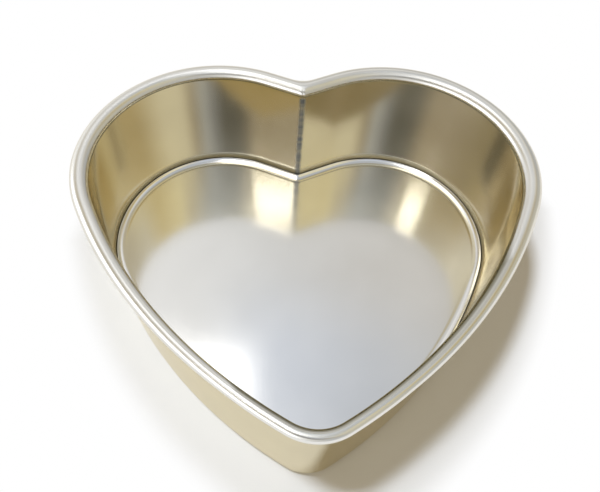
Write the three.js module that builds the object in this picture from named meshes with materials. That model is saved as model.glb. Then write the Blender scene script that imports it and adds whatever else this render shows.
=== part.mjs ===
// Heart-shaped cake tin with a loose base, in millimetres, +Z up.
// The origin lies on the table under the middle of the tin's outline, and the heart's tip points to -Y.

import * as THREE from "three";

const { clamp, degToRad, lerp } = THREE.MathUtils;

// Heart outline, drawn on the wall's inner face at the height of the rim
const LOBE_RADIUS = 44.5; // round lobe on each side of the cleft
const LOBE_SPREAD = 32.5; // centre of a lobe, out from the middle line
const CLEFT_SLOPE = degToRad(23.5); // fall of the straight runs that meet in the cleft
const CLEFT_RIDGE_RADIUS = 2; // ridge that the wall makes inside the tin
const CLEFT_NOTCH_RADIUS = 12; // notch at the rim's outer edge, filled by the bunched metal of the curl
const FLANK_RADIUS = 160; // bowed run from a lobe to the tip
const TIP_DROP = 81; // centre of the tip's arc, below the centres of the lobes
const TIP_RADIUS = 14;
const LEAST_TIP_RADIUS = 0.5; // tip of an outline that lies further in than the tip's arc is deep

// Side ring: one bent strip, curled out at the top and turned in to a hemmed ledge at the bottom
const TIN_HEIGHT = 53;
const WALL_LEAN = degToRad(0.5); // outward lean of the wall
const RING_SHEET = 0.8;
const FOOT_BEND_RADIUS = 2.2; // inside of the bend from the wall into the ledge
const LEDGE_FLAT = 6; // flat width of the ledge, inwards from the bend
const HEM_GAP = 0.8; // space inside the hem, where the ledge's edge is folded back over it
const CURL_TURN = degToRad(290); // how far the top edge is curled round the wire
const CURL_SLACK = 1.4; // extra radius of the curl round the lobes, over the tight curl at the tip

// Rim wire, under the crown of the curl
const WIRE_DIAMETER = 1.8;
const WIRE_CLEARANCE = 0.3; // between the wire and the curl

// Loose base: a plate with an upturned edge, lying on the ledge
const BASE_SHEET = 0.8;
const LIP_EDGE = 0.25; // thickness of the upturned edge at its lip, where the press thins it
const LIP_TURN = degToRad(52); // how far the edge is turned up
const EDGE_EASE = 2.3; // how much rounder the base's edge is than the corner that it sits in
const SEAT_CLEARANCE = 0.3; // between the base and the ledge
const EDGE_CLEARANCE = 0.3; // between the base's edge and the wall

// Facets along each stretch of the outline, and round each arc of a section
const CLEFT_STEPS = 2;
const STRAIGHT_STEPS = 2;
const LOBE_STEPS = 14;
const FLANK_STEPS = 8;
const TIP_STEPS = 5;
const BEND_STEPS = 4;
const CURL_STEPS = 12;
const WIRE_SIDES = 8;

const QUARTER = Math.PI / 2;

// Offset of the centre of a round form that touches the wall at a height:
// a positive radius lies outside the wall, and a negative one inside the tin
function besideWall(radius, height) {
  return (height - TIN_HEIGHT) * Math.tan(WALL_LEAN) + radius / Math.cos(WALL_LEAN);
}

// Centre of a curl of the given outside radius, whose crown is level with the rim
function curlCentre(radius) {
  const height = TIN_HEIGHT - radius;
  return new THREE.Vector2(besideWall(radius, height), height);
}

// How far a curl reaches out from the outline
function curlReach(radius) {
  return curlCentre(radius).x + radius;
}

// Sizes that follow from the ones above
const tightCurl = WIRE_DIAMETER / 2 + WIRE_CLEARANCE + RING_SHEET;
const looseCurl = tightCurl + CURL_SLACK;
const ledgeTop = 2 * RING_SHEET + HEM_GAP;
const outlineTop = LOBE_RADIUS + curlReach(looseCurl);
const outlineBottom = -TIP_DROP - TIP_RADIUS - curlReach(tightCurl);
const outlineMiddle = (outlineTop + outlineBottom) / 2;

// Points of an arc, both ends included, whose radius may change evenly towards its end
function arcPoints(centre, radius, from, to, steps, endRadius = radius) {
  return Array.from({ length: steps + 1 }, (_, step) => {
    const turn = lerp(from, to, step / steps);
    const reach = lerp(radius, endRadius, step / steps);
    return new THREE.Vector2(Math.cos(turn), Math.sin(turn)).multiplyScalar(reach).add(centre);
  });
}

// Centre of the arc that runs from the right lobe to the tip and is tangent to both
function findFlankCentre() {
  const lobe = new THREE.Vector2(LOBE_SPREAD, 0);
  const tip = new THREE.Vector2(0, -TIP_DROP);
  const fromLobe = FLANK_RADIUS - LOBE_RADIUS;
  const fromTip = FLANK_RADIUS - TIP_RADIUS;
  const apart = lobe.distanceTo(tip);
  const along = (fromLobe ** 2 - fromTip ** 2 + apart ** 2) / (2 * apart);
  const across = Math.sqrt(fromLobe ** 2 - along ** 2);
  const direction = tip.sub(lobe).divideScalar(apart);
  const inward = new THREE.Vector2(direction.y, -direction.x);
  return lobe.addScaledVector(direction, along).addScaledVector(inward, across);
}

const flankCentre = findFlankCentre();

// Radius of the cleft's rounding: it widens from the inside ridge to the notch in the rim's outer edge
function cleftRadius(offset, straightLength) {
  const share = clamp(offset / curlReach(looseCurl), 0, 1);
  const wanted = lerp(CLEFT_RIDGE_RADIUS, CLEFT_NOTCH_RADIUS, share);
  return Math.min(wanted, straightLength / Math.tan(CLEFT_SLOPE));
}

// Right half of the heart, from the cleft to the tip, pushed outwards by the offset
function halfOutline(offset) {
  const lobe = new THREE.Vector2(LOBE_SPREAD, 0);
  const lobeRadius = LOBE_RADIUS + offset;
  const lobeStart = QUARTER + CLEFT_SLOPE;
  const lobeEnd = lobe.clone().sub(flankCentre).angle() - 2 * Math.PI;

  const straightEnd = new THREE.Vector2(Math.cos(lobeStart), Math.sin(lobeStart));
  straightEnd.multiplyScalar(lobeRadius).add(lobe);
  const cleftHeight = straightEnd.y - straightEnd.x * Math.tan(CLEFT_SLOPE);
  const notch = cleftRadius(offset, straightEnd.x / Math.cos(CLEFT_SLOPE));
  const notchCentre = new THREE.Vector2(0, cleftHeight + notch / Math.cos(CLEFT_SLOPE));

  const flankRadius = FLANK_RADIUS + offset;
  const tipRadius = Math.max(TIP_RADIUS + offset, LEAST_TIP_RADIUS);
  const tipDepth = Math.sqrt((flankRadius - tipRadius) ** 2 - flankCentre.x ** 2);
  const tipCentre = new THREE.Vector2(0, flankCentre.y - tipDepth);
  const tipStart = tipCentre.clone().sub(flankCentre).angle() - 2 * Math.PI;

  const cleft = arcPoints(notchCentre, notch, -QUARTER, -QUARTER + CLEFT_SLOPE, CLEFT_STEPS);
  const straight = new THREE.LineCurve(cleft.at(-1), straightEnd).getPoints(STRAIGHT_STEPS);
  const lobeArc = arcPoints(lobe, lobeRadius, lobeStart, lobeEnd, LOBE_STEPS);
  const flankArc = arcPoints(flankCentre, flankRadius, lobeEnd, tipStart, FLANK_STEPS);
  const tipArc = arcPoints(tipCentre, tipRadius, tipStart, -QUARTER, TIP_STEPS);
  const runs = [straight, lobeArc, flankArc, tipArc];
  return runs.reduce((points, run) => points.concat(run.slice(1)), cleft);
}

// Whole heart, clockwise from the cleft, with the lobes' centres level with the origin
function heartOutline(offset) {
  const right = halfOutline(offset);
  right[0].x = 0;
  right.at(-1).x = 0;
  const left = right.slice(1, -1).reverse();
  return [...right, ...left.map((point) => new THREE.Vector2(-point.x, point.y))];
}

// Outside radius of the curl at each point round the heart: it tightens from the lobes down to the tip
const curlRadii = heartOutline(0).map((point) => {
  return lerp(tightCurl, looseCurl, clamp(1 + point.y / TIP_DROP, 0, 1));
});

// Surface swept round the heart by a section whose points are (offset, height), drawn for each curl radius.
// A closed section makes a ring, and an open one a plate whose two ends are filled flat.
function sweepRoundHeart(sectionFor, closed) {
  const sections = curlRadii.map(sectionFor);
  const around = sections.length;
  const rows = sections[0].map((_, i) => {
    return sections.map((section, j) => {
      const point = heartOutline(section[i].x)[j];
      return new THREE.Vector3(point.x, point.y - outlineMiddle, section[i].y);
    });
  });
  const indices = [];
  const bands = closed ? rows.length : rows.length - 1;
  for (let i = 0; i < bands; i += 1) {
    const low = i * around;
    const high = ((i + 1) % rows.length) * around;
    for (let j = 0; j < around; j += 1) {
      const next = (j + 1) % around;
      indices.push(low + j, low + next, high + j);
      indices.push(low + next, high + next, high + j);
    }
  }
  if (!closed) {
    const lastRow = (rows.length - 1) * around;
    for (const [a, b, c] of THREE.ShapeUtils.triangulateShape(rows[0], [])) {
      indices.push(a, b, c);
    }
    for (const [a, b, c] of THREE.ShapeUtils.triangulateShape(rows.at(-1), [])) {
      indices.push(lastRow + a, lastRow + c, lastRow + b);
    }
  }
  const geometry = new THREE.BufferGeometry().setFromPoints(rows.flat());
  geometry.setIndex(indices);
  return geometry;
}

function pieceOf(name, geometry, look) {
  const mesh = new THREE.Mesh(geometry, new THREE.MeshStandardMaterial({ metalness: 1, ...look }));
  mesh.name = name;
  return mesh;
}

// Strip of the wall: hem, ledge, foot bend, leaning wall and curled rim, drawn on both sides of the sheet
function sideRing() {
  const bendHeight = RING_SHEET + FOOT_BEND_RADIUS;
  const bendCentre = new THREE.Vector2(besideWall(-FOOT_BEND_RADIUS, bendHeight), bendHeight);
  const hemCentre = new THREE.Vector2(bendCentre.x - LEDGE_FLAT, ledgeTop / 2);
  const curlStart = Math.PI - WALL_LEAN;
  const faceAt = (depth, curlRadius) => {
    const hemRadius = HEM_GAP / 2 + depth;
    const hemEdge = new THREE.Vector2(bendCentre.x, hemCentre.y + hemRadius);
    const hem = arcPoints(hemCentre, hemRadius, QUARTER, 3 * QUARTER, BEND_STEPS);
    const bend = arcPoints(bendCentre, FOOT_BEND_RADIUS + depth, -QUARTER, -WALL_LEAN, BEND_STEPS);
    const centre = curlCentre(curlRadius);
    const curl = arcPoints(centre, curlRadius - depth, curlStart, curlStart - CURL_TURN, CURL_STEPS);
    return [hemEdge, ...hem, ...bend, ...curl];
  };
  const sectionFor = (curlRadius) => {
    return [...faceAt(0, curlRadius), ...faceAt(RING_SHEET, curlRadius).reverse()];
  };
  return pieceOf("side_ring", sweepRoundHeart(sectionFor, true), { color: 0xd6cbb0, roughness: 0.22 });
}

// Round wire, bent flat, that lies under the crown of the curl all round
function rimWire() {
  const sectionFor = (curlRadius) => {
    const centre = new THREE.Vector2(curlCentre(curlRadius).x, TIN_HEIGHT - tightCurl);
    return arcPoints(centre, WIRE_DIAMETER / 2, 0, -2 * Math.PI, WIRE_SIDES).slice(1);
  };
  return pieceOf("rim_wire", sweepRoundHeart(sectionFor, true), { color: 0x8d8f92, roughness: 0.4 });
}

// Flat plate whose edge turns up along the wall
function looseBase() {
  const edgeRadius = FOOT_BEND_RADIUS + EDGE_EASE;
  const edgeHeight = ledgeTop + SEAT_CLEARANCE + edgeRadius;
  const lipHeight = edgeHeight - edgeRadius * Math.cos(LIP_TURN);
  const lipOffset = besideWall(-EDGE_CLEARANCE, lipHeight);
  const edgeCentre = new THREE.Vector2(lipOffset - edgeRadius * Math.sin(LIP_TURN), edgeHeight);
  const bendTo = (radius, lipRadius) => {
    return arcPoints(edgeCentre, radius, -QUARTER, LIP_TURN - QUARTER, BEND_STEPS, lipRadius);
  };
  const topFace = bendTo(edgeRadius - BASE_SHEET, edgeRadius - LIP_EDGE);
  const section = [...topFace, ...bendTo(edgeRadius, edgeRadius).reverse()];
  return pieceOf("loose_base", sweepRoundHeart(() => section, false), { color: 0xd9d9d4, roughness: 0.18 });
}

const heartCakeTin = new THREE.Group();
heartCakeTin.add(sideRing(), rimWire(), looseBase());

export default heartCakeTin;
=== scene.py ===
"""Heart-shaped aluminium cake tin with a loose base: its looks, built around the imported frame.

The sizes of the tin are millimetres, and Blender's own coordinates are metres. The heart's tip points
to -Y, +Z is up, and the tin stands on the floor at the origin.
"""

import logging
import math
from collections.abc import Callable, Sequence
from dataclasses import dataclass, field
from enum import Enum

import bmesh
import bpy
from mathutils import Matrix, Vector


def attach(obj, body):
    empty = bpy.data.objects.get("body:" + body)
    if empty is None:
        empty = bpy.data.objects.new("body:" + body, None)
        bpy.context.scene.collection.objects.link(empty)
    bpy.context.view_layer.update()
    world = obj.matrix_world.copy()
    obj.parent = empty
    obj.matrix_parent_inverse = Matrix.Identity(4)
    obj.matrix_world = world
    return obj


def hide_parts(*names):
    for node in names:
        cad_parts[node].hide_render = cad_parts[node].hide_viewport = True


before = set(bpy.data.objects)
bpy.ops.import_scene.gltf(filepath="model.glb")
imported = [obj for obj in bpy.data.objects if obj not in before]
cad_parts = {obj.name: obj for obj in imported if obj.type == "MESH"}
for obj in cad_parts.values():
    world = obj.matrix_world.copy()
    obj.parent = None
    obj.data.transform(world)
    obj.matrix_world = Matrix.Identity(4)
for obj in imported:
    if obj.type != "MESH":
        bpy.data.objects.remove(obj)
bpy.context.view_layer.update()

LOG = logging.getLogger("heart_cake_tin")
MM = 0.001
QUARTER = math.pi / 2
FULL_TURN = 360.0
UP = (0.0, 0.0, 1.0)
MERGE_DISTANCE = 1e-7
STATION = "station"
WORKED = "worked"

# The sRGB curve: a straight start up to its knee, and a power from there on
SRGB_SLOPE = 12.92
SRGB_KNEE = 0.04045
SRGB_OFFSET = 0.055
SRGB_POWER = 2.4

# Range that most of a noise's values lie in
NOISE_LOW = 0.3
NOISE_HIGH = 0.7

# Sockets of the mix node by number, because those for values and for colours share their names
MIX_FACTOR = 0
MIX_LOW = 2
MIX_HIGH = 3
MIX_A = 6
MIX_B = 7
MIX_RESULT = 2


class Body(Enum):
    """Bodies of the frame that the pieces ride on."""

    TIN = "tin"
    BASE = "base"


class Slot(Enum):
    """Material slots of the record."""

    RING = "ring_aluminium"
    WIRE = "wire_steel"
    BASE = "base_aluminium"


class Stretch(Enum):
    """Stretches of the heart's outline from the cleft to the tip, each with its number of steps."""

    CLEFT = 10
    STRAIGHT = 12
    LOBE = 96
    FLANK = 56
    TIP = 40


def linear(hex_code: str) -> tuple[float, float, float, float]:
    """Turns an sRGB hex colour into linear RGBA.

    Args:
        hex_code: Six hex digits, such as "d6cbb0".

    Returns:
        Linear red, green, blue and an alpha of 1.
    """
    red, green, blue = (
        c / SRGB_SLOPE if c <= SRGB_KNEE else ((c + SRGB_OFFSET) / (1 + SRGB_OFFSET)) ** SRGB_POWER
        for c in (byte / 255 for byte in bytes.fromhex(hex_code))
    )
    return red, green, blue, 1.0


def clamp01(value: float) -> float:
    """Limits a number to the range from 0 to 1."""
    return min(max(value, 0.0), 1.0)


def lerp(start: float, end: float, share: float) -> float:
    """Goes a share of the way from start to end."""
    return start + (end - start) * share


def per_mm(size: float) -> float:
    """Gives the texture scale whose pattern repeats about every size millimetres."""
    return 1 / (size * MM)


def add_node(
    tree: bpy.types.NodeTree,
    kind: str,
    inputs: dict | None = None,
    stops: Sequence[tuple[float, tuple]] = (),
    **settings: object,
) -> bpy.types.Node:
    """Adds a node with its settings and links.

    Args:
        tree: Node tree that gets the node.
        kind: Node type, such as "ShaderNodeTexNoise".
        inputs: Input socket, by name or index, to a value or to the output socket that feeds it.
        stops: Positions and colours, where the node holds a colour ramp.
        settings: Properties of the node.

    Returns:
        The new node.
    """
    node = tree.nodes.new(kind)
    for name, value in settings.items():
        setattr(node, name, value)
    for key, value in (inputs or {}).items():
        if isinstance(value, bpy.types.NodeSocket):
            tree.links.new(value, node.inputs[key])
        else:
            node.inputs[key].default_value = value
    for i, (position, colour) in enumerate(stops):
        elements = node.color_ramp.elements
        stop = elements[i] if i < len(elements) else elements.new(position)
        stop.position = position
        stop.color = colour
    return node


def new_material(name: str) -> tuple[bpy.types.Material, bpy.types.NodeTree]:
    """Makes an empty node material.

    Args:
        name: Name of the finish.

    Returns:
        The material and its node tree.
    """
    material = bpy.data.materials.new(name)
    material.use_nodes = True
    material.node_tree.nodes.clear()
    return material, material.node_tree


def arc(
    centre: Vector,
    radius: float,
    start: float,
    end: float,
    steps: int,
    end_radius: float | None = None,
) -> list[Vector]:
    """Lays points on an arc, both ends included.

    Args:
        centre: Centre of the arc.
        radius: Its radius.
        start: Angle of the first point.
        end: Angle of the last point.
        steps: Number of steps between them.
        end_radius: Radius at the last point, where it changes evenly towards it.

    Returns:
        The points, as 2-D vectors.
    """
    last = radius if end_radius is None else end_radius
    points = []
    for i in range(steps + 1):
        turn = lerp(start, end, i / steps)
        points.append(centre + lerp(radius, last, i / steps) * Vector((math.cos(turn), math.sin(turn))))
    return points


@dataclass(frozen=True)
class Station:
    """A place along the heart's outline: a share of one stretch, on the right or the left half."""

    stretch: Stretch
    share: float
    side: int


@dataclass(frozen=True)
class HeartOutline:
    """Heart that the wall's inner face follows at the height of the rim.

    The lobes' centres lie on y = 0 here, and the outline is made of tangent arcs and two straight runs.
    """

    lobe_radius: float = 44.5
    lobe_spread: float = 32.5
    cleft_slope: float = math.radians(23.5)
    ridge_radius: float = 2.0
    notch_radius: float = 12.0
    notch_reach: float = 6.8
    flank_radius: float = 160.0
    tip_drop: float = 81.0
    tip_radius: float = 14.0
    least_tip_radius: float = 0.5

    def stations(self) -> list[Station]:
        """Lists the places round the whole heart.

        Returns:
            Stations from the cleft by the right lobe to the tip, and back by the left lobe.
        """
        cleft = Station(Stretch.CLEFT, 0.0, 1)
        right = [Station(s, i / s.value, 1) for s in Stretch for i in range(1, s.value + 1)]
        left = [Station(place.stretch, place.share, -1) for place in reversed(right[:-1])]
        return [cleft, *right, *left]

    def flank_centre(self) -> Vector:
        """Finds the centre of the arc that is tangent to the right lobe and the tip.

        Returns:
            The centre, as a 2-D vector.
        """
        lobe = Vector((self.lobe_spread, 0.0))
        tip = Vector((0.0, -self.tip_drop))
        from_lobe = self.flank_radius - self.lobe_radius
        from_tip = self.flank_radius - self.tip_radius
        apart = (tip - lobe).length
        along = (from_lobe**2 - from_tip**2 + apart**2) / (2 * apart)
        across = math.sqrt(from_lobe**2 - along**2)
        direction = (tip - lobe) / apart
        return lobe + direction * along + Vector((direction.y, -direction.x)) * across

    def cleft_curve(self, offset: float) -> tuple[Vector, float, Vector]:
        """Rounds the cleft: a sharp ridge inside the tin that widens to a notch at the rim's outer edge.

        Args:
            offset: Distance outwards from the outline.

        Returns:
            Centre and radius of the rounding, and the point where the straight run meets the lobe.
        """
        turn = QUARTER + self.cleft_slope
        straight_end = Vector((math.cos(turn), math.sin(turn))) * (self.lobe_radius + offset)
        straight_end.x += self.lobe_spread
        wanted = lerp(self.ridge_radius, self.notch_radius, clamp01(offset / self.notch_reach))
        run = straight_end.x / math.cos(self.cleft_slope)
        radius = min(wanted, run / math.tan(self.cleft_slope))
        low = straight_end.y - straight_end.x * math.tan(self.cleft_slope)
        return Vector((0.0, low + radius / math.cos(self.cleft_slope))), radius, straight_end

    def point(self, place: Station, offset: float) -> Vector:
        """Finds the outline's point at a station, pushed outwards.

        Args:
            place: Station on the outline.
            offset: Distance outwards, negative into the tin.

        Returns:
            The point, as a 2-D vector.
        """
        lobe = Vector((self.lobe_spread, 0.0))
        flank = self.flank_centre()
        lobe_end = math.atan2(lobe.y - flank.y, lobe.x - flank.x)
        tip_radius = max(self.tip_radius + offset, self.least_tip_radius)
        tip_depth = math.sqrt((self.flank_radius + offset - tip_radius) ** 2 - flank.x**2)
        tip = Vector((0.0, flank.y - tip_depth))
        tip_start = math.atan2(tip.y - flank.y, tip.x - flank.x)
        if place.stretch in (Stretch.CLEFT, Stretch.STRAIGHT):
            centre, radius, straight_end = self.cleft_curve(offset)
            turn = -QUARTER + self.cleft_slope * (place.share if place.stretch is Stretch.CLEFT else 1)
            spot = centre + radius * Vector((math.cos(turn), math.sin(turn)))
            if place.stretch is Stretch.STRAIGHT:
                spot = spot.lerp(straight_end, place.share)
        elif place.stretch is Stretch.LOBE:
            turn = lerp(QUARTER + self.cleft_slope, lobe_end, place.share)
            spot = lobe + (self.lobe_radius + offset) * Vector((math.cos(turn), math.sin(turn)))
        elif place.stretch is Stretch.FLANK:
            turn = lerp(lobe_end, tip_start, place.share)
            spot = flank + (self.flank_radius + offset) * Vector((math.cos(turn), math.sin(turn)))
        else:
            turn = lerp(tip_start, -QUARTER, place.share)
            spot = tip + tip_radius * Vector((math.cos(turn), math.sin(turn)))
        return Vector((spot.x * place.side, spot.y))


@dataclass(frozen=True)
class TinBody:
    """Sizes that the ring, the wire and the base share."""

    outline: HeartOutline = field(default_factory=HeartOutline)
    height: float = 53.0
    lean: float = math.radians(0.5)
    sheet: float = 0.8
    foot_bend: float = 2.2
    hem_gap: float = 0.8
    wire_diameter: float = 1.8
    wire_clearance: float = 0.3
    curl_slack: float = 1.4

    @property
    def tight_curl(self) -> float:
        """Outside radius of the curl at the tip, where it is closed on the wire."""
        return self.wire_diameter / 2 + self.wire_clearance + self.sheet

    @property
    def ledge_top(self) -> float:
        """Height of the hemmed ledge that the base lies on."""
        return 2 * self.sheet + self.hem_gap

    def beside_wall(self, radius: float, height: float) -> float:
        """Gives the offset of a round form's centre that touches the wall's inner face.

        Args:
            radius: Radius of the form, negative where it lies inside the tin.
            height: Height of its centre.

        Returns:
            The offset from the outline.
        """
        return (height - self.height) * math.tan(self.lean) + radius / math.cos(self.lean)

    def curl_centre(self, radius: float) -> Vector:
        """Places the centre of a curl whose crown is level with the rim, as (offset, height)."""
        height = self.height - radius
        return Vector((self.beside_wall(radius, height), height))

    def curl_radius(self, place: Station) -> float:
        """Gives the curl's outside radius at a station: it tightens from the lobes down to the tip."""
        share = clamp01(1 + self.outline.point(place, 0.0).y / self.outline.tip_drop)
        return self.tight_curl + self.curl_slack * share

    def middle(self) -> float:
        """Finds the middle of the tin along Y, where the frame has its origin.

        Returns:
            Its distance from the line through the lobes' centres.
        """
        loose = self.tight_curl + self.curl_slack
        top = self.outline.lobe_radius + self.curl_centre(loose).x + loose
        tip_rim = self.curl_centre(self.tight_curl).x + self.tight_curl
        return (top - self.outline.tip_drop - self.outline.tip_radius - tip_rim) / 2


SectionMaker = Callable[[Station], list[Vector]]


def sweep(
    name: str,
    body: TinBody,
    section_for: SectionMaker,
    closed: bool,
    worked: Sequence[float] = (),
) -> bpy.types.Object:
    """Sweeps a section round the heart: a circle is added, shaped and extruded loop by loop.

    Args:
        name: Name of the new piece.
        body: Sizes of the tin.
        section_for: Gives a station's section, a list of (offset, height) points.
        closed: True for a ring, False for a plate whose first and last loops are filled flat.
        worked: How far each point of the section was worked by the rolls or the press, from 0 to 1.

    Returns:
        The piece, smooth shaded, with its place in its mesh and the work in an attribute.
    """
    stations = body.outline.stations()
    sections = [section_for(place) for place in stations]
    middle = body.middle()

    def place_loop(mesh: bpy.types.Mesh, row: int) -> None:
        """Moves the selected loop to one row of the sections.

        Args:
            mesh: Mesh that is being edited.
            row: Number of the sections' point.
        """
        edit = bmesh.from_edit_mesh(mesh)
        layer = edit.verts.layers.int[STATION]
        work = edit.verts.layers.float[WORKED]
        for vertex in edit.verts:
            if vertex.select:
                number = vertex[layer]
                vertex[work] = worked[row] if worked else 0.0
                offset, height = sections[number][row]
                spot = body.outline.point(stations[number], offset)
                vertex.co = Vector((spot.x, spot.y - middle, height)) * MM
        bmesh.update_edit_mesh(mesh)

    bpy.ops.object.select_all(action="DESELECT")
    bpy.ops.mesh.primitive_circle_add(vertices=len(stations), radius=body.outline.lobe_radius * MM)
    piece = bpy.context.active_object
    piece.name = name
    piece.data.name = name
    bpy.ops.object.mode_set(mode="EDIT")
    edit = bmesh.from_edit_mesh(piece.data)
    edit.verts.layers.float.new(WORKED)
    layer = edit.verts.layers.int.new(STATION)
    edit.verts.ensure_lookup_table()
    for number, vertex in enumerate(edit.verts):
        vertex[layer] = number
    place_loop(piece.data, 0)
    if not closed:
        bpy.ops.mesh.edge_face_add()
        bpy.ops.mesh.select_mode(type="EDGE")
    last = len(sections[0]) - 1
    for row in [*range(1, last + 1), *([0] if closed else [])]:
        bpy.ops.mesh.extrude_edges_move()
        place_loop(piece.data, row)
    if not closed:
        bpy.ops.mesh.edge_face_add()
    bpy.ops.mesh.select_all(action="SELECT")
    bpy.ops.mesh.remove_doubles(threshold=MERGE_DISTANCE)
    bpy.ops.mesh.normals_make_consistent(inside=False)
    bpy.ops.mesh.select_mode(type="VERT")
    bpy.ops.object.mode_set(mode="OBJECT")
    piece.data.attributes.remove(piece.data.attributes[STATION])
    bpy.ops.object.shade_smooth()
    return piece


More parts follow.
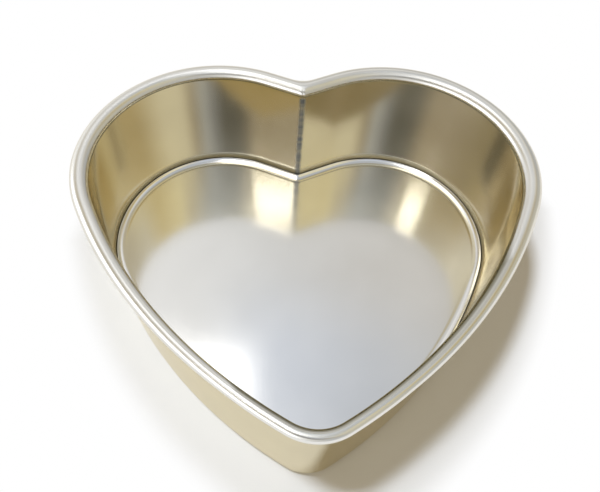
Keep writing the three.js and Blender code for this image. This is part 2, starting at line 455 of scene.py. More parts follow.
@dataclass(frozen=True)
class ChampagneAluminium:
    """Bright anodised aluminium of the bent strip.

    Rolled, bright-dipped and anodised sheet: a clear mirror with a pale champagne tint on the wall,
    where soft bands of the rolling run up it. The curling rolls rub the rim to plain satin silver. Painted
    shade darkens a band along the rim's inner side, widest from the tip to the right flank, and the wall's
    inside corner above the base. The sheet is dull where the strip's ends meet.
    """

    name: str = "bright_anodised_champagne_aluminium"
    wall_colour: str = "ede6d0"
    grazing_colour: str = "f0eadb"
    # Dark colour painted as shade along the rim's inner side, where the bead meets the wall
    painted_crease_shade_colour: str = "8a8672"
    rim_colour: str = "e9e8e4"
    # Colour painted as shade in the wall's inside corner above the base
    painted_corner_shade_colour: str = "c6bea4"
    seam_colour: str = "93979b"
    roughness: float = 0.12
    roughness_swing: float = 0.04
    corner_roughness: float = 0.5
    seam_roughness: float = 0.5
    rim_roughness: float = 0.3
    rolled_stretch: float = 0.7
    # Amounts of the rolls' work where the painted shade band along the rim's inner side begins, is full,
    # fades and has gone
    painted_crease_shade_stops: tuple[float, float, float, float] = (0.0, 0.15, 0.3, 0.6)
    # Way to the wide end of the painted shade band, distances along it, and how fast the work adds up at
    # each
    painted_crease_shade_way: tuple[float, float, float] = (0.45, -0.9, 0.0)
    painted_crease_shade_spread: tuple[float, float] = (0.0, 45.0)
    painted_crease_shade_rate: tuple[float, float] = (6.0, 0.8)
    # Heights where the painted corner shade ends and is full
    painted_corner_shade_top: tuple[float, float] = (9.0, 5.5)
    seam_width: float = 1.8
    seam_core: float = 0.3
    seam_spot: float = 3.5
    seam_spot_range: tuple[float, float] = (0.35, 0.65)
    seam_faintest: float = 0.45
    seam_top: tuple[float, float] = (50.5, 48.5)
    ripple: float = 16.0
    ripple_run: tuple[float, float, float] = (1.0, 1.0, 0.35)
    ripple_depth: float = 0.02
    rolling_band: float = 7.0
    rolling_run: tuple[float, float, float] = (1.0, 1.0, 0.05)
    rolling_depth: float = 0.006
    cloud: float = 22.0
    cloud_shade: float = 0.93

    def material(self) -> bpy.types.Material:
        """Builds the node material.

        Returns:
            The finish of the bent strip.
        """
        material, tree = new_material(self.name)
        place = add_node(tree, "ShaderNodeTexCoord").outputs["Object"]
        axes = add_node(tree, "ShaderNodeSeparateXYZ", {0: place})
        turned = add_node(tree, "ShaderNodeAttribute", attribute_name=WORKED).outputs["Fac"]
        along = {0: place, 1: self.painted_crease_shade_way}
        towards = add_node(tree, "ShaderNodeVectorMath", along, operation="DOT_PRODUCT")
        # Rate at which the rolls' work adds up here: it widens the painted shade band towards the right
        # flank and moves where the rim's silver colour and roughness begin
        work_rate = add_node(
            tree,
            "ShaderNodeMapRange",
            {
                "Value": towards.outputs["Value"],
                "From Min": self.painted_crease_shade_spread[0] * MM,
                "From Max": self.painted_crease_shade_spread[1] * MM,
                "To Min": self.painted_crease_shade_rate[0],
                "To Max": self.painted_crease_shade_rate[1],
            },
        ).outputs[0]
        rim = add_node(tree, "ShaderNodeMath", {0: turned, 1: work_rate}, operation="MULTIPLY").outputs[0]
        # The wall's colour gives way to a dark band of painted shade along the rim's inner side, then to
        # the rim's own silver
        colours = (self.wall_colour, self.painted_crease_shade_colour, self.painted_crease_shade_colour, self.rim_colour)
        stops = [(amount, linear(colour)) for amount, colour in zip(self.painted_crease_shade_stops, colours)]
        sheet = add_node(tree, "ShaderNodeValToRGB", {0: rim}, stops=stops)
        cloud = add_node(
            tree,
            "ShaderNodeTexNoise",
            {"Vector": place, "Scale": per_mm(self.cloud), "Detail": 3.0},
        )
        shade = add_node(
            tree,
            "ShaderNodeMapRange",
            {
                "Value": cloud.outputs[0],
                "From Min": NOISE_LOW,
                "From Max": NOISE_HIGH,
                "To Min": self.cloud_shade,
                "To Max": 1.0,
            },
        )
        clouded = add_node(
            tree,
            "ShaderNodeMix",
            {MIX_FACTOR: 1.0, MIX_A: sheet.outputs[0], MIX_B: shade.outputs[0]},
            data_type="RGBA",
            blend_type="MULTIPLY",
        )
        # Painted shade in the wall's inside corner above the base, where the sheet is also rougher
        corner = self.painted_corner_shade_mask(tree, axes)
        corner_shaded = add_node(
            tree,
            "ShaderNodeMix",
            {MIX_FACTOR: corner, MIX_A: clouded.outputs[MIX_RESULT], MIX_B: linear(self.painted_corner_shade_colour)},
            data_type="RGBA",
        )
        seam = self.seam_mask(tree, axes)
        colour = add_node(
            tree,
            "ShaderNodeMix",
            {MIX_FACTOR: seam, MIX_A: corner_shaded.outputs[MIX_RESULT], MIX_B: linear(self.seam_colour)},
            data_type="RGBA",
        )
        band_place = add_node(tree, "ShaderNodeMapping", {"Vector": place, "Scale": self.rolling_run})
        bands = add_node(
            tree,
            "ShaderNodeTexNoise",
            {"Vector": band_place.outputs[0], "Scale": per_mm(self.rolling_band), "Detail": 3.0},
        )
        banded = add_node(
            tree,
            "ShaderNodeMapRange",
            {
                "Value": bands.outputs[0],
                "To Min": self.roughness - self.roughness_swing,
                "To Max": self.roughness + self.roughness_swing,
            },
        )
        rolled_dull = add_node(
            tree,
            "ShaderNodeMix",
            {MIX_FACTOR: rim, MIX_LOW: banded.outputs[0], MIX_HIGH: self.rim_roughness},
            data_type="FLOAT",
        )
        corner_dull = add_node(
            tree,
            "ShaderNodeMix",
            {MIX_FACTOR: corner, MIX_LOW: rolled_dull.outputs[0], MIX_HIGH: self.corner_roughness},
            data_type="FLOAT",
        )
        roughness = add_node(
            tree,
            "ShaderNodeMix",
            {MIX_FACTOR: seam, MIX_LOW: corner_dull.outputs[0], MIX_HIGH: self.seam_roughness},
            data_type="FLOAT",
        )
        ripple_place = add_node(tree, "ShaderNodeMapping", {"Vector": place, "Scale": self.ripple_run})
        ripple = add_node(
            tree,
            "ShaderNodeTexNoise",
            {"Vector": ripple_place.outputs[0], "Scale": per_mm(self.ripple), "Detail": 1.0},
        )
        waved = add_node(
            tree,
            "ShaderNodeBump",
            {"Height": ripple.outputs[0], "Strength": 1.0, "Distance": self.ripple_depth * MM},
        )
        rolled = add_node(
            tree,
            "ShaderNodeBump",
            {
                "Height": bands.outputs[0],
                "Normal": waved.outputs[0],
                "Strength": 1.0,
                "Distance": self.rolling_depth * MM,
            },
        )
        shader = add_node(
            tree,
            "ShaderNodeBsdfPrincipled",
            {
                "Base Color": colour.outputs[MIX_RESULT],
                "Metallic": 1.0,
                "Roughness": roughness.outputs[0],
                "Normal": rolled.outputs[0],
                "Specular Tint": linear(self.grazing_colour),
                "Anisotropic": self.rolled_stretch,
                "Tangent": UP,
            },
        )
        add_node(tree, "ShaderNodeOutputMaterial", {"Surface": shader.outputs[0]})
        return material

    def painted_corner_shade_mask(self, tree: bpy.types.NodeTree, axes: bpy.types.Node) -> bpy.types.NodeSocket:
        """Draws the band of painted shade along the inside of the wall, just above the base.

        Args:
            tree: Node tree of the material.
            axes: Node that gives the place's X, Y and Z.

        Returns:
            Output socket, 1 in the corner.
        """
        low = add_node(
            tree,
            "ShaderNodeMapRange",
            {
                "Value": axes.outputs["Z"],
                "From Min": self.painted_corner_shade_top[0] * MM,
                "From Max": self.painted_corner_shade_top[1] * MM,
            },
            interpolation_type="SMOOTHSTEP",
        )
        spot = add_node(tree, "ShaderNodeTexCoord")
        outwards = {0: spot.outputs["Normal"], 1: spot.outputs["Object"]}
        facing = add_node(tree, "ShaderNodeVectorMath", outwards, operation="DOT_PRODUCT")
        inwards = {0: facing.outputs["Value"], 1: 0.0}
        inside = add_node(tree, "ShaderNodeMath", inwards, operation="LESS_THAN")
        both = {0: low.outputs[0], 1: inside.outputs[0]}
        return add_node(tree, "ShaderNodeMath", both, operation="MULTIPLY").outputs[0]

    def seam_mask(self, tree: bpy.types.NodeTree, axes: bpy.types.Node) -> bpy.types.NodeSocket:
        """Draws the dull, blotched line where the strip's ends meet in the cleft.

        Args:
            tree: Node tree of the material.
            axes: Node that gives the place's X, Y and Z.

        Returns:
            Output socket, 1 on the line.
        """
        aside = add_node(tree, "ShaderNodeMath", {0: axes.outputs["X"]}, operation="ABSOLUTE")
        line = add_node(
            tree,
            "ShaderNodeMapRange",
            {
                "Value": aside.outputs[0],
                "From Min": self.seam_width * MM,
                "From Max": self.seam_width * MM * self.seam_core,
            },
            interpolation_type="SMOOTHSTEP",
        )
        below = add_node(
            tree,
            "ShaderNodeMapRange",
            {
                "Value": axes.outputs["Z"],
                "From Min": self.seam_top[0] * MM,
                "From Max": self.seam_top[1] * MM,
            },
        )
        behind = add_node(tree, "ShaderNodeMath", {0: axes.outputs["Y"], 1: 0.0}, operation="GREATER_THAN")
        spots = add_node(
            tree,
            "ShaderNodeTexNoise",
            {"W": axes.outputs["Z"], "Scale": per_mm(self.seam_spot), "Detail": 2.0},
            noise_dimensions="1D",
        )
        blotch = add_node(
            tree,
            "ShaderNodeMapRange",
            {
                "Value": spots.outputs[0],
                "From Min": self.seam_spot_range[0],
                "From Max": self.seam_spot_range[1],
                "To Min": self.seam_faintest,
                "To Max": 1.0,
            },
        )
        mask = line
        for limit in (below, behind, blotch):
            both = {0: mask.outputs[0], 1: limit.outputs[0]}
            mask = add_node(tree, "ShaderNodeMath", both, operation="MULTIPLY")
        return mask.outputs[0]


@dataclass(frozen=True)
class SilverAluminium:
    """Bright anodised aluminium of the pressed base.

    Cold-rolled sheet, bright-dipped and anodised: a neutral silver mirror with a soft haze, faint rolling
    lines and the slight oil-canning that a thin plate keeps after pressing.
    """

    name: str = "bright_anodised_silver_aluminium"
    colour: str = "eeedeb"
    roughness: float = 0.14
    roughness_swing: float = 0.05
    lip_roughness: float = 0.12
    cloud: float = 30.0
    cloud_shade: float = 0.95
    ripple: float = 45.0
    ripple_depth: float = 0.05
    rolling_line: float = 0.9
    rolling_run: tuple[float, float, float] = (1.0, 0.02, 1.0)
    rolling_roughness: float = 0.04

    def material(self) -> bpy.types.Material:
        """Builds the node material.

        Returns:
            The finish of the pressed base.
        """
        material, tree = new_material(self.name)
        place = add_node(tree, "ShaderNodeTexCoord").outputs["Object"]
        cloud = add_node(
            tree,
            "ShaderNodeTexNoise",
            {"Vector": place, "Scale": per_mm(self.cloud), "Detail": 4.0},
        )
        shade = add_node(
            tree,
            "ShaderNodeMapRange",
            {
                "Value": cloud.outputs[0],
                "From Min": NOISE_LOW,
                "From Max": NOISE_HIGH,
                "To Min": self.cloud_shade,
                "To Max": 1.0,
            },
        )
        colour = add_node(
            tree,
            "ShaderNodeMix",
            {MIX_FACTOR: 1.0, MIX_A: linear(self.colour), MIX_B: shade.outputs[0]},
            data_type="RGBA",
            blend_type="MULTIPLY",
        )
        lines_place = add_node(tree, "ShaderNodeMapping", {"Vector": place, "Scale": self.rolling_run})
        lines = add_node(
            tree,
            "ShaderNodeTexNoise",
            {"Vector": lines_place.outputs[0], "Scale": per_mm(self.rolling_line), "Detail": 2.0},
        )
        hazed = add_node(
            tree,
            "ShaderNodeMapRange",
            {
                "Value": cloud.outputs[0],
                "To Min": self.roughness - self.roughness_swing,
                "To Max": self.roughness + self.roughness_swing,
            },
        )
        lined = add_node(
            tree,
            "ShaderNodeMath",
            {0: lines.outputs[0], 1: self.rolling_roughness, 2: hazed.outputs[0]},
            operation="MULTIPLY_ADD",
        )
        lip = add_node(tree, "ShaderNodeAttribute", attribute_name=WORKED).outputs["Fac"]
        roughness = add_node(
            tree,
            "ShaderNodeMix",
            {MIX_FACTOR: lip, MIX_LOW: lined.outputs[0], MIX_HIGH: self.lip_roughness},
            data_type="FLOAT",
        )
        ripple = add_node(
            tree,
            "ShaderNodeTexNoise",
            {"Vector": place, "Scale": per_mm(self.ripple), "Detail": 0.0},
        )
        waved = add_node(
            tree,
            "ShaderNodeBump",
            {"Height": ripple.outputs[0], "Strength": 1.0, "Distance": self.ripple_depth * MM},
        )
        shader = add_node(
            tree,
            "ShaderNodeBsdfPrincipled",
            {
                "Base Color": colour.outputs[MIX_RESULT],
                "Metallic": 1.0,
                "Roughness": roughness.outputs[0],
                "Normal": waved.outputs[0],
            },
        )
        add_node(tree, "ShaderNodeOutputMaterial", {"Surface": shader.outputs[0]})
        return material


@dataclass(frozen=True)
class DrawnSteel:
    """Zinc-plated drawn steel wire: a dull bluish grey, blotched by the plating."""

    name: str = "zinc_plated_drawn_steel"
    colour: str = "a3a6aa"
    dull_colour: str = "82868b"
    smooth_roughness: float = 0.3
    dull_roughness: float = 0.5
    blotch: float = 4.0

    def material(self) -> bpy.types.Material:
        """Builds the node material.

        Returns:
            The finish of the wire.
        """
        material, tree = new_material(self.name)
        place = add_node(tree, "ShaderNodeTexCoord").outputs["Object"]
        blotch = add_node(
            tree,
            "ShaderNodeTexNoise",
            {"Vector": place, "Scale": per_mm(self.blotch), "Detail": 4.0},
        )
        colour = add_node(
            tree,
            "ShaderNodeMix",
            {MIX_FACTOR: blotch.outputs[0], MIX_A: linear(self.colour), MIX_B: linear(self.dull_colour)},
            data_type="RGBA",
        )
        roughness = add_node(
            tree,
            "ShaderNodeMapRange",
            {"Value": blotch.outputs[0], "To Min": self.smooth_roughness, "To Max": self.dull_roughness},
        )
        shader = add_node(
            tree,
            "ShaderNodeBsdfPrincipled",
            {"Base Color": colour.outputs[MIX_RESULT], "Metallic": 1.0, "Roughness": roughness.outputs[0]},
        )
        add_node(tree, "ShaderNodeOutputMaterial", {"Surface": shader.outputs[0]})
        return material


def dress(piece: bpy.types.Object, finish: bpy.types.Material, body: Body, node: str) -> None:
    """Gives a piece its finish and ties it to the frame.

    Args:
        piece: The finished mesh.
        finish: Its material.
        body: Body that it moves with.
        node: Node of the frame that it stands for.
    """
    piece.data.materials.append(finish)
    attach(piece, body.value)
    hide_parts(node)
    LOG.info("%s: %d faces, rides on %s", piece.name, len(piece.data.polygons), body.value)


@dataclass(frozen=True)
class SideRing:
    """Bent strip of the wall, with its hemmed ledge, curled rim and the joint of its ends in the cleft."""

    tin: TinBody
    finish: ChampagneAluminium
    ledge_flat: float = 6.0
    curl_turn: float = math.radians(290)
    # Distance and number of the points beside the bends that keep each face flat between them
    support: float = 0.4
    support_points: int = 6
    bend_steps: int = 12
    curl_steps: int = 44
    # Steps of the curl over which the rolls' work grows to its full amount
    polish_steps: int = 20
    edge_steps: int = 6
    seam_depth: float = 0.15
    seam_half_width: float = 0.55

    def seam_cut(self, place: Station, spot: Vector) -> float:
        """Gives the depth of the joint's groove at a point of the section.

        Args:
            place: Station on the outline.
            spot: The section's (offset, height) point.

        Returns:
            Depth into the sheet, fading out over the curl's crown and into the foot bend.
        """
        if place.stretch not in (Stretch.CLEFT, Stretch.STRAIGHT):
            return 0.0
        aside = abs(self.tin.outline.point(place, spot.x).x) / self.seam_half_width
        foot = clamp01((spot.y - self.tin.ledge_top) / self.tin.foot_bend)
        crown = clamp01((self.tin.height - spot.y) / self.tin.tight_curl)
        return self.seam_depth * foot * crown * clamp01(1 - aside**2) ** 2

    def section(self, place: Station) -> list[Vector]:
        """Draws the strip's section at a station: along its inner face, round the curl's edge and back.

        Args:
            place: Station on the outline.

        Returns:
            Closed loop of (offset, height) points.
        """
        tin = self.tin
        half = tin.sheet / 2
        bend_height = tin.sheet + tin.foot_bend
        bend = Vector((tin.beside_wall(-tin.foot_bend, bend_height), bend_height))
        curl_radius = tin.curl_radius(place)
        curl = tin.curl_centre(curl_radius)
        curl_start = math.pi - tin.lean
        curl_end = curl_start - self.curl_turn
        up = Vector((math.sin(tin.lean), math.cos(tin.lean))) * self.support
        fold = Vector((bend.x - self.ledge_flat, tin.ledge_top / 2))
        aside = Vector((self.support, 0.0))

        def face(depth: float, sign: int) -> list[Vector]:
            """Draws one face of the sheet from the hem's edge to the curl's edge, cut by the groove.

            Args:
                depth: Distance of the face from the sheet's inner face.
                sign: Way along the offset that the groove is cut.

            Returns:
                Row of (offset, height) points.
            """
            hem = arc(fold, tin.hem_gap / 2 + depth, QUARTER, 3 * QUARTER, self.bend_steps)
            foot = arc(bend, tin.foot_bend + depth, -QUARTER, -tin.lean, self.bend_steps)
            roll = arc(curl, curl_radius - depth, curl_start, curl_end, self.curl_steps)
            fold_back = [Vector((bend.x - half, hem[0].y)), hem[0] + aside]
            ledge = [*fold_back, *hem, hem[-1] + aside, foot[0] - aside]
            points = [*ledge, *foot, foot[-1] + up, roll[0] - up, *roll]
            out = Vector((sign, 0.0))
            return [spot + out * self.seam_cut(place, spot) for spot in points]

        curl_tip = curl + (curl_radius - half) * Vector((math.cos(curl_end), math.sin(curl_end)))
        rim_edge = arc(curl_tip, half, curl_end, curl_end - math.pi, self.edge_steps)[1:-1]
        hem_tip = Vector((bend.x - half, tin.ledge_top - half))
        hem_edge = arc(hem_tip, half, QUARTER, -QUARTER, self.edge_steps)[1:-1]
        return [*face(0.0, 1), *rim_edge, *reversed(face(tin.sheet, -1)), *hem_edge]

    def worked(self) -> list[float]:
        """Lists how far each point of the section was worked by the curling rolls.

        Returns:
            Numbers from 0 to 1, in the order of the section's points.
        """
        flat = [0.0] * (2 * (self.bend_steps + 1) + self.support_points)
        curl = [clamp01(i / self.polish_steps) for i in range(self.curl_steps + 1)]
        edge = self.edge_steps - 1
        return [*flat, *curl, *[1.0] * edge, *reversed(curl), *flat, *[0.0] * edge]

    def build(self) -> None:
        """Models the ring and dresses it."""
        piece = sweep("side_ring_strip", self.tin, self.section, True, self.worked())
        dress(piece, self.finish.material(), Body.TIN, "side_ring")


@dataclass(frozen=True)
class RimWire:
    """Round wire, bent flat, that lies under the crown of the curl."""

    tin: TinBody
    finish: DrawnSteel
    sides: int = 16

    def section(self, place: Station) -> list[Vector]:
        """Draws the wire's round section at a station.

        Args:
            place: Station on the outline.

        Returns:
            Closed loop of (offset, height) points.
        """
        curl = self.tin.curl_centre(self.tin.curl_radius(place))
        centre = Vector((curl.x, self.tin.height - self.tin.tight_curl))
        return arc(centre, self.tin.wire_diameter / 2, 0.0, 2 * math.pi, self.sides)[:-1]

    def build(self) -> None:
        """Models the wire and dresses it."""
        piece = sweep("rim_wire_steel", self.tin, self.section, closed=True)
        dress(piece, self.finish.material(), Body.TIN, "rim_wire")


@dataclass(frozen=True)
class LooseBase:
    """Pressed base plate on the ring's ledge, with an upturned edge that is drawn thin at its lip."""

    tin: TinBody
    finish: SilverAluminium
    sheet: float = 0.8
    lip_edge: float = 0.25
    lip_turn: float = math.radians(52)
    edge_ease: float = 2.3
    seat_clearance: float = 0.3
    edge_clearance: float = 0.3
    support: float = 0.6
    bend_steps: int = 16
    edge_steps: int = 6

    def section(self, place: Station) -> list[Vector]:
        """Draws the plate's edge: from its top face up the bend, over the lip and down to its underside.

        Args:
            place: Station on the outline; the edge is the same all round.

        Returns:
            Open row of (offset, height) points, the same at every station.
        """
        radius = self.tin.foot_bend + self.edge_ease
        height = self.tin.ledge_top + self.seat_clearance + radius
        lip_offset = self.tin.beside_wall(-self.edge_clearance, height - radius * math.cos(self.lip_turn))
        centre = Vector((lip_offset - radius * math.sin(self.lip_turn), height))
        lip_angle = self.lip_turn - QUARTER
        top = arc(centre, radius - self.sheet, -QUARTER, lip_angle, self.bend_steps, radius - self.lip_edge)
        under = arc(centre, radius, lip_angle, -QUARTER, self.bend_steps)
        lip_centre = (top[-1] + under[0]) / 2
        lip = arc(lip_centre, self.lip_edge / 2, lip_angle + math.pi, lip_angle, self.edge_steps)[1:-1]
        inwards = Vector((self.support, 0.0))
        return [top[0] - inwards, *top, *lip, *under, under[-1] - inwards]

    def worked(self) -> list[float]:
        """Lists how far each point of the section was drawn by the press."""
        bend = [i / self.bend_steps for i in range(self.bend_steps + 1)]
        return [0.0, *bend, *[1.0] * (self.edge_steps - 1), *reversed(bend), 0.0]

    def build(self) -> None:
        """Models the base and dresses it."""
        piece = sweep("loose_base_plate", self.tin, self.section, False, self.worked())
        dress(piece, self.finish.material(), Body.BASE, "loose_base")


class Card(Enum):
    """Colours of the soft cards that stand round the tin."""

    DARK = "636159"
    SLATE = "8d8f93"
    STEEL = "aab0b9"
    GREY = "bcc0c4"
    DUN = "968a6c"
    TAN = "a69a84"
    SAND = "c0af84"
    CREAM = "d4cbae"
    STRAW = "e8dbb0"
    IVORY = "e6dfc6"
    BUTTER = "f6edc8"
    PALE = "d4d1cb"
    HAZE = "cbcfd5"
    SKY = "dbe2ee"
    SILVER = "e2e2e0"
    MIST = "f0f0ee"
    WHITE = "ffffff"


@dataclass(frozen=True)
class CardRing:
    """Ring of soft cards, which takes over from the ring below between two elevations, in degrees.

    Each card is given by the azimuth of its middle, in degrees, where 0 is in front of the tip and 90 is at
    the right, and neighbours run into each other.
    """

    start: float
    full: float
    cards: tuple[tuple[float, Card], ...]


@dataclass(frozen=True)
class SoftLamp:
    """Flat soft lamp: its azimuth and elevation in degrees, and its distance, width and depth in metres."""

    name: str
    azimuth: float
    elevation: float
    distance: float
    width: float
    depth: float
    watts: float
    colour: str = "ffffff"
    level: bool = False
    round: bool = False
    mirrored: bool = True

    def hang(self) -> None:
        """Adds the lamp, which lights the metal if it is mirrored, and the floor if it isn't."""
        turn = math.radians(self.azimuth)
        rise = math.radians(self.elevation)
        spot = Vector((math.sin(turn) * math.cos(rise), -math.cos(turn) * math.cos(rise), math.sin(rise)))
        facing = (0.0, 0.0, 0.0) if self.level else (QUARTER - rise, 0.0, turn)
        bpy.ops.object.light_add(type="AREA", location=spot * self.distance, rotation=facing)
        holder = bpy.context.active_object
        holder.name = self.name
        holder.visible_glossy = self.mirrored
        holder.visible_diffuse = not self.mirrored
        lamp = holder.data
        lamp.shape = "ELLIPSE" if self.round else "RECTANGLE"
        lamp.size = self.width
        lamp.size_y = self.depth
        lamp.energy = self.watts
        lamp.color = linear(self.colour)[:3]


TABLE_RING = CardRing(
    start=-90.0,
    full=-90.0,
    cards=(
        (-180, Card.PALE),
        (-140, Card.WHITE),
        (-25, Card.WHITE),
        (0, Card.PALE),
        (30, Card.GREY),
        (50, Card.CREAM),
        (70, Card.GREY),
        (95, Card.CREAM),
        (130, Card.GREY),
        (180, Card.PALE),
    ),
)
LOW_RING = CardRing(
    start=30.0,
    full=37.0,
    cards=(
        (-180, Card.WHITE),
        (-150, Card.PALE),
        (-130, Card.SAND),
        (-95, Card.DUN),
        (-60, Card.TAN),
        (-38, Card.TAN),
        (-22, Card.DARK),
        (-6, Card.DARK),
        (4, Card.SLATE),
        (13, Card.GREY),
        (22, Card.TAN),
        (33, Card.IVORY),
        (52, Card.IVORY),
        (78, Card.SAND),
        (125, Card.SAND),
        (155, Card.WHITE),
        (180, Card.WHITE),
    ),
)
MIDDLE_RING = CardRing(
    start=47.0,
    full=51.0,
    cards=(
        (-180, Card.SILVER),
        (-160, Card.WHITE),
        (-135, Card.PALE),
        (-108, Card.SAND),
        (-78, Card.SAND),
        (-58, Card.IVORY),
        (-42, Card.CREAM),
        (-30, Card.PALE),
        (-15, Card.STEEL),
        (15, Card.STEEL),
        (35, Card.CREAM),
        (50, Card.BUTTER),
        (80, Card.STRAW),
        (118, Card.BUTTER),
        (150, Card.PALE),
        (180, Card.SILVER),
    ),
)
HIGH_RING = CardRing(
    start=51.5,
    full=54.0,
    cards=(
        (-180, Card.SILVER),
        (-165, Card.MIST),
        (-130, Card.WHITE),
        (-95, Card.SILVER),
        (-68, Card.PALE),
        (-56, Card.WHITE),
        (-40, Card.MIST),
        (-26, Card.SILVER),
        (-12, Card.HAZE),
        (8, Card.SKY),
        (24, Card.SKY),
        (40, Card.PALE),
        (54, Card.BUTTER),
        (80, Card.STRAW),
        (105, Card.SILVER),
        (135, Card.PALE),
        (160, Card.PALE),
        (180, Card.SILVER),
    ),
)
ZENITH_RING = CardRing(
    start=58.0,
    full=66.0,
    cards=(
        (-180, Card.SKY),
        (-165, Card.MIST),
        (-110, Card.WHITE),
        (-60, Card.WHITE),
        (-20, Card.SILVER),
        (10, Card.GREY),
        (110, Card.GREY),
        (150, Card.HAZE),
        (180, Card.SKY),
    ),
)
KEY_LAMP = SoftLamp(
    name="key_lamp",
    azimuth=-96,
    elevation=74,
    distance=2.2,
    width=0.24,
    depth=0.24,
    watts=28.5,
    colour="e9f2ff",
    mirrored=False,
)
SIDE_PANEL = SoftLamp(
    name="side_panel",
    azimuth=-70,
    elevation=16,
    distance=1.2,
    width=2.4,
    depth=0.66,
    watts=6.5,
)
CEILING_PANEL = SoftLamp(
    name="ceiling_panel",
    azimuth=-78.9,
    elevation=78.1,
    distance=0.8175,
    width=0.235,
    depth=0.695,
    watts=0.81,
    level=True,
)
WINDOW = SoftLamp(
    name="window",
    azimuth=-49,
    elevation=54.1,
    distance=2.0,
    width=0.56,
    depth=0.08,
    watts=0.5,
    round=True,
)


@dataclass(frozen=True)
class FloorRound:
    """Round of the floor that shows its own light and shadow: its middle and radius in metres."""

    middle: tuple[float, float, float]
    radius: float


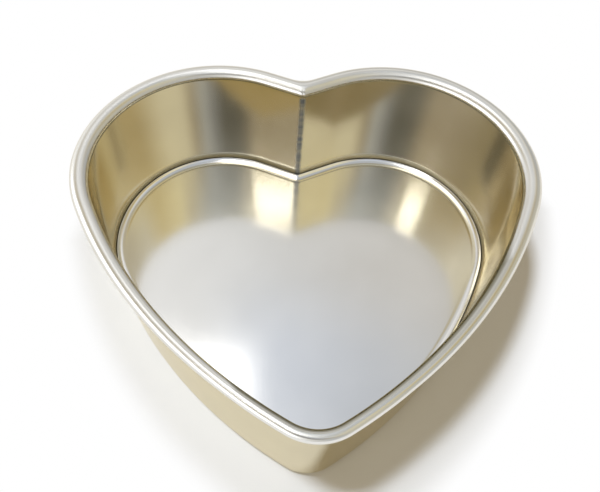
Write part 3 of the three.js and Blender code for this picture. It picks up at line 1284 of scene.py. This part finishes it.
@dataclass(frozen=True)
class Studio:
    """Pale floor, soft lamps at the left, rings of soft cards round the tin, and the camera.

    The camera's angles are radians and its lengths millimetres. The floor's lengths are metres.
    """

    photo_width: int = 600
    sensor: float = 36.0
    focal_pixels: float = 588.84
    axis_pixel_x: float = 275.0
    azimuth: float = -0.030
    elevation: float = 0.983
    roll: float = 0.030
    distance: float = 251.3
    target: tuple[float, float, float] = (-10.3, 21.75, 0.0)
    floor_size: float = 6.0
    floor_colour: str = "f6f6f6"
    floor_rounds: tuple[FloorRound, ...] = (
        FloorRound(middle=(0.01, 0.01, 0.0), radius=0.1),
        FloorRound(middle=(0.09, 0.075, 0.0), radius=0.186),
        FloorRound(middle=(-0.07, 0.07, 0.0), radius=0.177),
    )
    floor_fade: float = 0.012
    fill_colour: str = "a1957f"
    backdrop_colour: str = "ffffff"
    clip_start: float = 0.01
    mirror_bounces: int = 14
    lamps: tuple[SoftLamp, ...] = (KEY_LAMP, SIDE_PANEL, CEILING_PANEL, WINDOW)
    rings: tuple[CardRing, ...] = (TABLE_RING, LOW_RING, MIDDLE_RING, HIGH_RING, ZENITH_RING)

    def build(self) -> None:
        """Sets up the floor, the lamps, the surroundings, the camera and the view."""
        self.lay_floor()
        for lamp in self.lamps:
            lamp.hang()
        self.surround()
        self.aim_camera()
        scene = bpy.context.scene
        scene.view_settings.view_transform = "Standard"
        scene.cycles.max_bounces = self.mirror_bounces
        scene.cycles.glossy_bounces = self.mirror_bounces

    def lay_floor(self) -> None:
        """Lays a plain pale floor that fades to white away from the tin."""
        bpy.ops.object.select_all(action="DESELECT")
        bpy.ops.mesh.primitive_plane_add(size=self.floor_size)
        floor = bpy.context.active_object
        floor.name = "floor"
        material, tree = new_material("matt_white_table")
        place = add_node(tree, "ShaderNodeTexCoord").outputs["Object"]
        faded = 0.0
        for lit in self.floor_rounds:
            away = add_node(tree, "ShaderNodeVectorMath", {0: place, 1: lit.middle}, operation="DISTANCE")
            fade = add_node(
                tree,
                "ShaderNodeMapRange",
                {
                    "Value": away.outputs["Value"],
                    "From Min": lit.radius,
                    "From Max": lit.radius + self.floor_fade,
                },
                interpolation_type="SMOOTHSTEP",
            )
            either = {0: fade.outputs[0], 1: faded}
            faded = add_node(tree, "ShaderNodeMath", either, operation="MAXIMUM").outputs[0]
        matt = add_node(tree, "ShaderNodeBsdfDiffuse", {"Color": linear(self.floor_colour)})
        white = add_node(tree, "ShaderNodeEmission", {"Strength": 1.0})
        blend = {0: faded, 1: matt.outputs[0], 2: white.outputs[0]}
        surface = add_node(tree, "ShaderNodeMixShader", blend)
        add_node(tree, "ShaderNodeOutputMaterial", {"Surface": surface.outputs[0]})
        floor.data.materials.append(material)

    def surround(self) -> None:
        """Surrounds the tin: white to the camera, even fill to the floor, soft cards to the metal."""
        world = bpy.data.worlds.new("studio")
        bpy.context.scene.world = world
        world.use_nodes = True
        tree = world.node_tree
        tree.nodes.clear()
        rays = add_node(tree, "ShaderNodeLightPath")
        light = linear(self.fill_colour)
        seen = {"Is Glossy Ray": self.mirrored_cards(tree), "Is Camera Ray": linear(self.backdrop_colour)}
        for kind, colour in seen.items():
            light = add_node(
                tree,
                "ShaderNodeMix",
                {MIX_FACTOR: rays.outputs[kind], MIX_A: light, MIX_B: colour},
                data_type="RGBA",
            ).outputs[MIX_RESULT]
        sky = add_node(tree, "ShaderNodeBackground", {"Color": light, "Strength": 1.0})
        add_node(tree, "ShaderNodeOutputWorld", {"Surface": sky.outputs[0]})

    def mirrored_cards(self, tree: bpy.types.NodeTree) -> bpy.types.NodeSocket:
        """Draws the rings of cards, one above the other.

        Args:
            tree: Node tree of the world.

        Returns:
            Output socket with the colour that a mirrored ray sees.
        """
        way = add_node(tree, "ShaderNodeTexCoord").outputs["Generated"]
        axes = add_node(tree, "ShaderNodeSeparateXYZ", {0: way})
        front = add_node(tree, "ShaderNodeMath", {0: axes.outputs["Y"], 1: -1.0}, operation="MULTIPLY")
        level = {0: axes.outputs["X"], 1: front.outputs[0]}
        turn = add_node(tree, "ShaderNodeMath", level, operation="ARCTAN2")
        around = add_node(
            tree,
            "ShaderNodeMapRange",
            {"Value": turn.outputs[0], "From Min": -math.pi, "From Max": math.pi},
        )
        seen = None
        for ring in self.rings:
            stops = [(0.5 + azimuth / FULL_TURN, linear(card.value)) for azimuth, card in ring.cards]
            cards = add_node(tree, "ShaderNodeValToRGB", {0: around.outputs[0]}, stops=stops).outputs[0]
            if seen is None:
                seen = cards
                continue
            height = add_node(
                tree,
                "ShaderNodeMapRange",
                {
                    "Value": axes.outputs["Z"],
                    "From Min": math.sin(math.radians(ring.start)),
                    "From Max": math.sin(math.radians(ring.full)),
                },
                interpolation_type="SMOOTHSTEP",
            )
            seen = add_node(
                tree,
                "ShaderNodeMix",
                {MIX_FACTOR: height.outputs[0], MIX_A: seen, MIX_B: cards},
                data_type="RGBA",
            ).outputs[MIX_RESULT]
        return seen

    def aim_camera(self) -> None:
        """Puts the camera where the photograph was taken from."""
        back = Vector(
            (
                math.sin(self.azimuth) * math.cos(self.elevation),
                -math.cos(self.azimuth) * math.cos(self.elevation),
                math.sin(self.elevation),
            )
        )
        right = Vector(UP).cross(back).normalized()
        up = back.cross(right)
        turned_right = math.cos(self.roll) * right + math.sin(self.roll) * up
        turned_up = math.cos(self.roll) * up - math.sin(self.roll) * right
        spot = (Vector(self.target) + back * self.distance) * MM
        bpy.ops.object.camera_add()
        camera = bpy.context.active_object
        axes = Matrix((turned_right, turned_up, back)).transposed().to_4x4()
        camera.matrix_world = Matrix.Translation(spot) @ axes
        lens = camera.data
        lens.sensor_fit = "HORIZONTAL"
        lens.sensor_width = self.sensor
        lens.lens = self.sensor * self.focal_pixels / self.photo_width
        lens.shift_x = (self.photo_width / 2 - self.axis_pixel_x) / self.photo_width
        lens.clip_start = self.clip_start
        bpy.context.scene.camera = camera


def main() -> None:
    """Builds the tin's pieces and the studio."""
    logging.basicConfig(level=logging.INFO, format="%(name)s: %(message)s")
    tin = TinBody()
    SideRing(tin, ChampagneAluminium()).build()
    RimWire(tin, DrawnSteel()).build()
    LooseBase(tin, SilverAluminium()).build()
    Studio().build()


if __name__ == "__main__":
    main()
